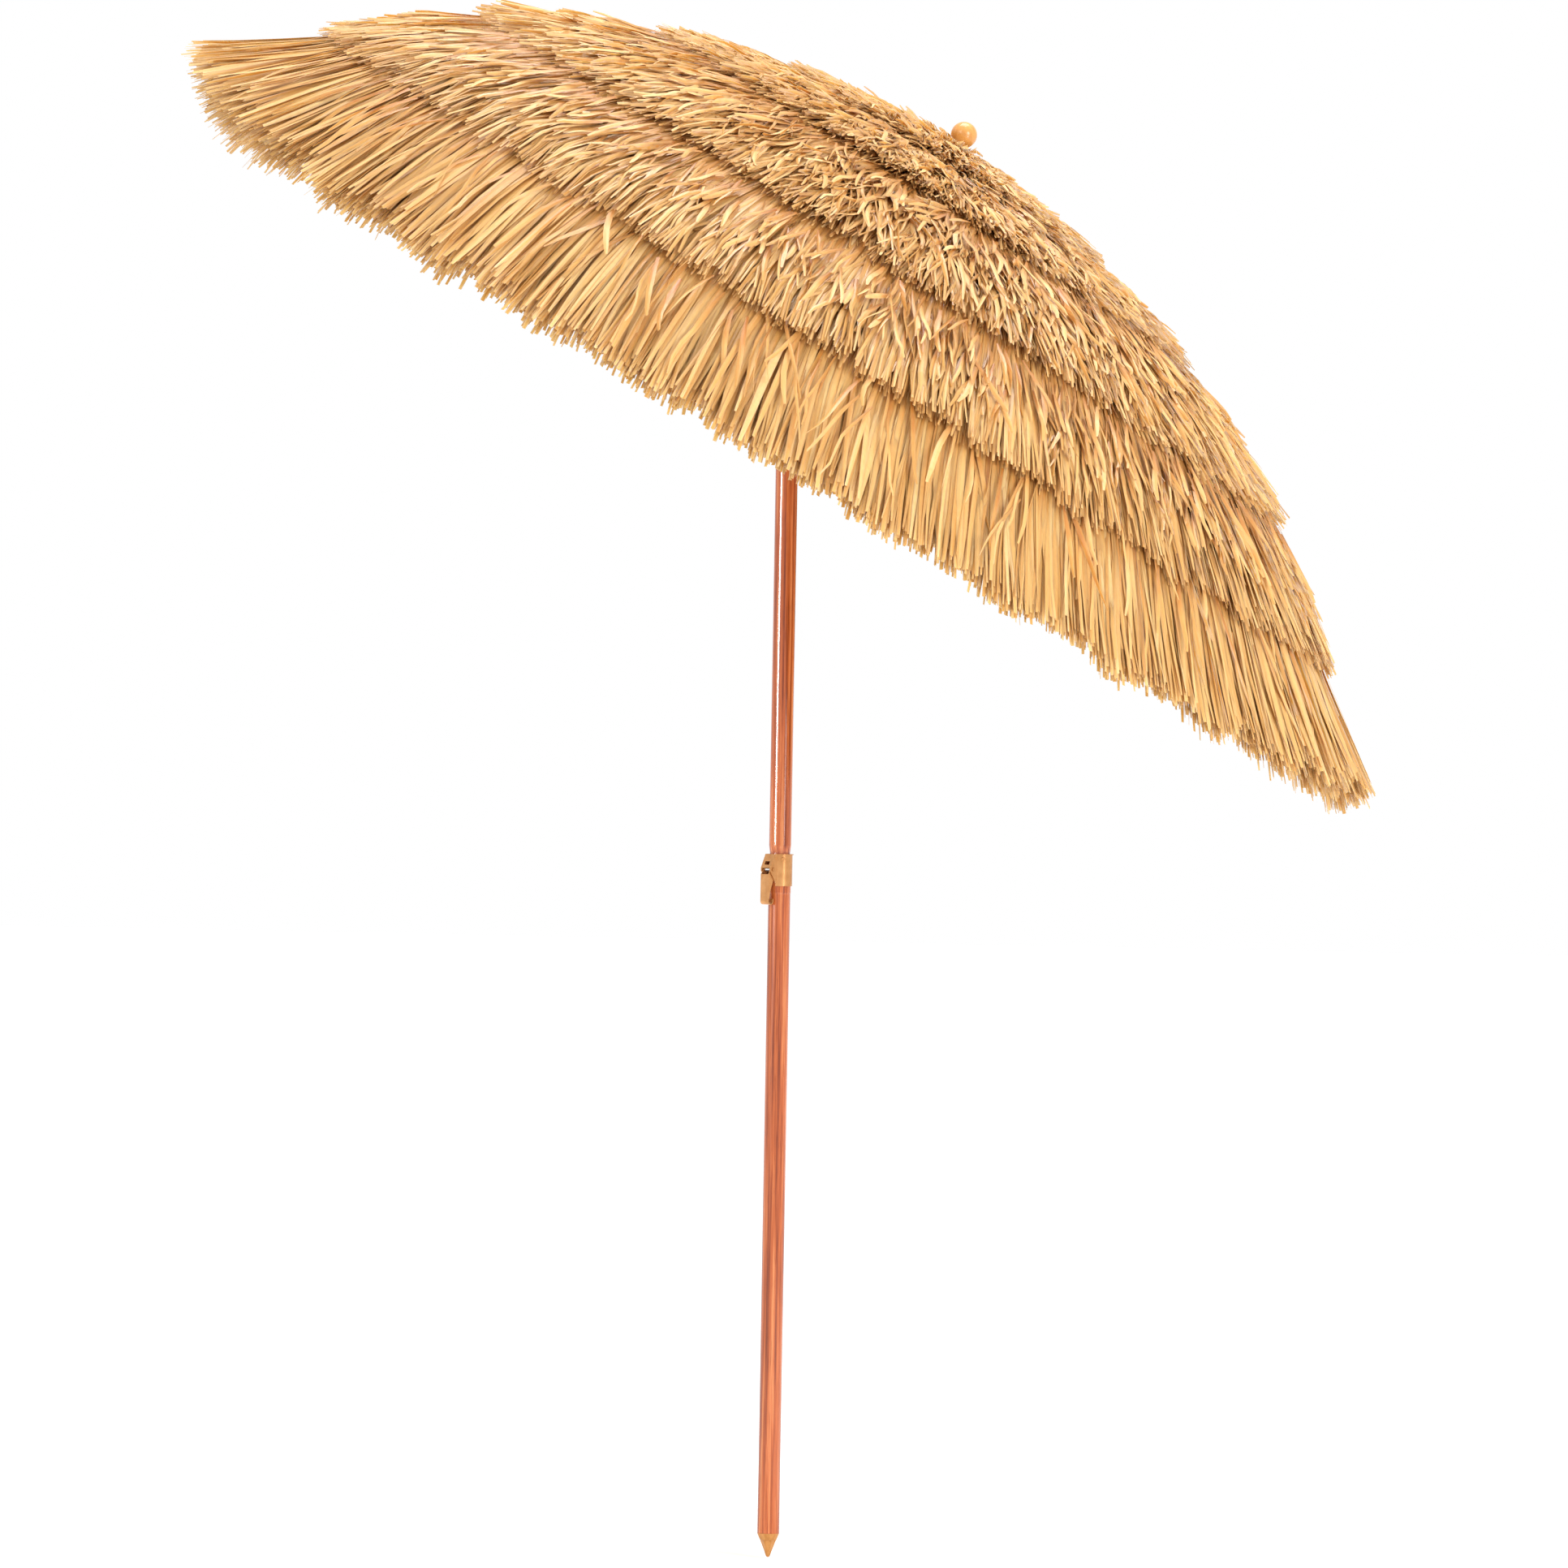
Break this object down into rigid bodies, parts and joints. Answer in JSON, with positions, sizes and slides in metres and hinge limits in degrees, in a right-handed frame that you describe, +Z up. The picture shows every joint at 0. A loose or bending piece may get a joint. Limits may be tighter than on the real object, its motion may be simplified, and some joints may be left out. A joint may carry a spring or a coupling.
{
  "type": "beach umbrella",
  "caption": "Tilted beach umbrella with a tiered straw thatch canopy, folding ribs, ball finial, two-piece wood-look pole, locking clamp and ground spike",
  "frame": {"origin": "centre of the lower pole's bottom end, where the ground spike starts", "axes": "+Z up along the pole, the open canopy leans toward +X, and the clamp lever faces between -X and -Y"},
  "size_m": [1.7159, 2.01, 2.2168],
  "materials": {
    "wood_film": "gloss",
    "clamp_paint": "satin",
    "spike_plastic": "satin",
    "finial_plastic": "gloss",
    "knuckle_plastic": "satin",
    "button_plastic": "matte",
    "hub_plastic": "satin",
    "frame_paint": "satin",
    "bare_steel": "satin",
    "lining_fabric": "matte",
    "raffia": "satin"
  },
  "bodies": {
    "lower_pole": {"lower_pole": "wood_film", "ground_spike": "spike_plastic", "clamp_bracket": "clamp_paint", "clamp_rivets": "clamp_paint", "clamp_pin": "clamp_paint", "clamp_spring": "bare_steel"},
    "clamp_lever": {"clamp_lever": "clamp_paint"},
    "upper_pole": {"upper_pole": "wood_film", "tilt_fork": "knuckle_plastic", "tilt_pin": "bare_steel", "tilt_button_spring": "bare_steel"},
    "tilt_button": {"tilt_button": "button_plastic"},
    "mast": {"mast_tube": "wood_film", "tilt_tongue": "knuckle_plastic", "crown_hub": "hub_plastic", "crown_ring_wire": "bare_steel", "finial": "finial_plastic", "thatch_top_cap": "raffia"},
    "runner": {"runner": "hub_plastic"},
    "runner_catch": {"runner_catch": "bare_steel"},
    "rib_1": {"rib_1": "frame_paint", "rib_tip_1": "hub_plastic", "canopy_lining_1": "lining_fabric", "thatch_skirt_1": "raffia"},
    "strut_1": {"strut_1": "frame_paint"},
    "rib_2": {"rib_2": "frame_paint", "rib_tip_2": "hub_plastic", "canopy_lining_2": "lining_fabric", "thatch_skirt_2": "raffia"},
    "strut_2": {"strut_2": "frame_paint"},
    "rib_3": {"rib_3": "frame_paint", "rib_tip_3": "hub_plastic", "canopy_lining_3": "lining_fabric", "thatch_skirt_3": "raffia"},
    "strut_3": {"strut_3": "frame_paint"},
    "rib_4": {"rib_4": "frame_paint", "rib_tip_4": "hub_plastic", "canopy_lining_4": "lining_fabric", "thatch_skirt_4": "raffia"},
    "strut_4": {"strut_4": "frame_paint"},
    "rib_5": {"rib_5": "frame_paint", "rib_tip_5": "hub_plastic", "canopy_lining_5": "lining_fabric", "thatch_skirt_5": "raffia"},
    "strut_5": {"strut_5": "frame_paint"},
    "rib_6": {"rib_6": "frame_paint", "rib_tip_6": "hub_plastic", "canopy_lining_6": "lining_fabric", "thatch_skirt_6": "raffia"},
    "strut_6": {"strut_6": "frame_paint"},
    "rib_7": {"rib_7": "frame_paint", "rib_tip_7": "hub_plastic", "canopy_lining_7": "lining_fabric", "thatch_skirt_7": "raffia"},
    "strut_7": {"strut_7": "frame_paint"},
    "rib_8": {"rib_8": "frame_paint", "rib_tip_8": "hub_plastic", "canopy_lining_8": "lining_fabric", "thatch_skirt_8": "raffia"},
    "strut_8": {"strut_8": "frame_paint"}
  },
  "joints": [
    {"name": "clamp_lever_turn", "type": "hinge", "parent": "lower_pole", "child": "clamp_lever", "pos_m": [-0.0145, -0.0145, 0.958], "axis": [-0.7071, 0.7071, 0], "range_deg": [0, 24], "stiffness_Nm_per_rad": 0.3, "springref_deg": -14.32},
    {"name": "upper_pole_slide", "type": "slide", "parent": "lower_pole", "child": "upper_pole", "axis": [0, 0, 1], "range_m": [0, 0.12]},
    {"name": "canopy_tilt", "type": "hinge", "parent": "upper_pole", "child": "mast", "pos_m": [0, 0, 1.616], "axis": [0, 1, 0], "range_deg": [-31.5, 0]},
    {"name": "tilt_button_press", "type": "slide", "parent": "upper_pole", "child": "tilt_button", "axis": [1, 0, 0], "range_m": [0, 0.0025], "stiffness_N_per_m": 400, "springref_m": -0.002, "deforming": ["tilt_button_spring"]},
    {"name": "canopy_fold", "type": "hinge", "parent": "mast", "child": "rib_1", "pos_m": [0.24017, 0.00804, 1.97079], "axis": [-0.3263, 0.9239, 0.2], "range_deg": [0, 65.69], "deforming": ["canopy_lining_1", "thatch_skirt_1", "canopy_lining_2", "thatch_skirt_2", "canopy_lining_3", "thatch_skirt_3", "canopy_lining_4", "thatch_skirt_4", "canopy_lining_5", "thatch_skirt_5", "canopy_lining_6", "thatch_skirt_6", "canopy_lining_7", "thatch_skirt_7", "canopy_lining_8", "thatch_skirt_8"]},
    {"name": "runner_slide", "type": "slide", "parent": "mast", "child": "runner", "axis": [-0.5225, 0, -0.8526], "range_m": [0, 0.23838]},
    {"name": "runner_catch_press", "type": "slide", "parent": "mast", "child": "runner_catch", "axis": [-0.8526, 0, 0.5225], "range_m": [0, 0.003], "stiffness_N_per_m": 300, "springref_m": -0.002},
    {"name": "strut_1_fold", "type": "hinge", "parent": "rib_1", "child": "strut_1", "pos_m": [0.36916, 0.07473, 1.87313], "axis": [-0.3263, 0.9239, 0.2], "range_deg": [-107.69, 0]},
    {"name": "rib_2_fold", "type": "hinge", "parent": "mast", "child": "rib_2", "pos_m": [0.23048, 0.0194, 1.97673], "axis": [-0.7877, 0.3827, 0.4827], "range_deg": [0, 65.69]},
    {"name": "strut_2_fold", "type": "hinge", "parent": "rib_2", "child": "strut_2", "pos_m": [0.27905, 0.18041, 1.92835], "axis": [-0.7877, 0.3827, 0.4827], "range_deg": [-107.69, 0]},
    {"name": "rib_3_fold", "type": "hinge", "parent": "mast", "child": "rib_3", "pos_m": [0.21678, 0.0194, 1.98513], "axis": [-0.7877, -0.3827, 0.4827], "range_deg": [0, 65.69]},
    {"name": "strut_3_fold", "type": "hinge", "parent": "rib_3", "child": "strut_3", "pos_m": [0.15162, 0.18041, 2.00644], "axis": [-0.7877, -0.3827, 0.4827], "range_deg": [-107.69, 0]},
    {"name": "rib_4_fold", "type": "hinge", "parent": "mast", "child": "rib_4", "pos_m": [0.20709, 0.00804, 1.99107], "axis": [-0.3263, -0.9239, 0.2], "range_deg": [0, 65.69]},
    {"name": "strut_4_fold", "type": "hinge", "parent": "rib_4", "child": "strut_4", "pos_m": [0.0615, 0.07473, 2.06166], "axis": [-0.3263, -0.9239, 0.2], "range_deg": [-107.69, 0]},
    {"name": "rib_5_fold", "type": "hinge", "parent": "mast", "child": "rib_5", "pos_m": [0.20709, -0.00804, 1.99107], "axis": [0.3263, -0.9239, -0.2], "range_deg": [0, 65.69]},
    {"name": "strut_5_fold", "type": "hinge", "parent": "rib_5", "child": "strut_5", "pos_m": [0.0615, -0.07473, 2.06166], "axis": [0.3263, -0.9239, -0.2], "range_deg": [-107.69, 0]},
    {"name": "rib_6_fold", "type": "hinge", "parent": "mast", "child": "rib_6", "pos_m": [0.21678, -0.0194, 1.98513], "axis": [0.7877, -0.3827, -0.4827], "range_deg": [0, 65.69]},
    {"name": "strut_6_fold", "type": "hinge", "parent": "rib_6", "child": "strut_6", "pos_m": [0.15162, -0.18041, 2.00644], "axis": [0.7877, -0.3827, -0.4827], "range_deg": [-107.69, 0]},
    {"name": "rib_7_fold", "type": "hinge", "parent": "mast", "child": "rib_7", "pos_m": [0.23048, -0.0194, 1.97673], "axis": [0.7877, 0.3827, -0.4827], "range_deg": [0, 65.69]},
    {"name": "strut_7_fold", "type": "hinge", "parent": "rib_7", "child": "strut_7", "pos_m": [0.27905, -0.18041, 1.92835], "axis": [0.7877, 0.3827, -0.4827], "range_deg": [-107.69, 0]},
    {"name": "rib_8_fold", "type": "hinge", "parent": "mast", "child": "rib_8", "pos_m": [0.24017, -0.00804, 1.97079], "axis": [0.3263, 0.9239, -0.2], "range_deg": [0, 65.69]},
    {"name": "strut_8_fold", "type": "hinge", "parent": "rib_8", "child": "strut_8", "pos_m": [0.36916, -0.07473, 1.87313], "axis": [0.3263, 0.9239, -0.2], "range_deg": [-107.69, 0]}
  ],
  "couplings": [
    {"joint": "runner_slide", "follows": "canopy_fold", "m_per_rad": 0.20792},
    {"joint": "strut_1_fold", "follows": "canopy_fold", "ratio": -1.6394},
    {"joint": "rib_2_fold", "follows": "canopy_fold", "ratio": 1},
    {"joint": "strut_2_fold", "follows": "canopy_fold", "ratio": -1.6394},
    {"joint": "rib_3_fold", "follows": "canopy_fold", "ratio": 1},
    {"joint": "strut_3_fold", "follows": "canopy_fold", "ratio": -1.6394},
    {"joint": "rib_4_fold", "follows": "canopy_fold", "ratio": 1},
    {"joint": "strut_4_fold", "follows": "canopy_fold", "ratio": -1.6394},
    {"joint": "rib_5_fold", "follows": "canopy_fold", "ratio": 1},
    {"joint": "strut_5_fold", "follows": "canopy_fold", "ratio": -1.6394},
    {"joint": "rib_6_fold", "follows": "canopy_fold", "ratio": 1},
    {"joint": "strut_6_fold", "follows": "canopy_fold", "ratio": -1.6394},
    {"joint": "rib_7_fold", "follows": "canopy_fold", "ratio": 1},
    {"joint": "strut_7_fold", "follows": "canopy_fold", "ratio": -1.6394},
    {"joint": "rib_8_fold", "follows": "canopy_fold", "ratio": 1},
    {"joint": "strut_8_fold", "follows": "canopy_fold", "ratio": -1.6394}
  ]
}
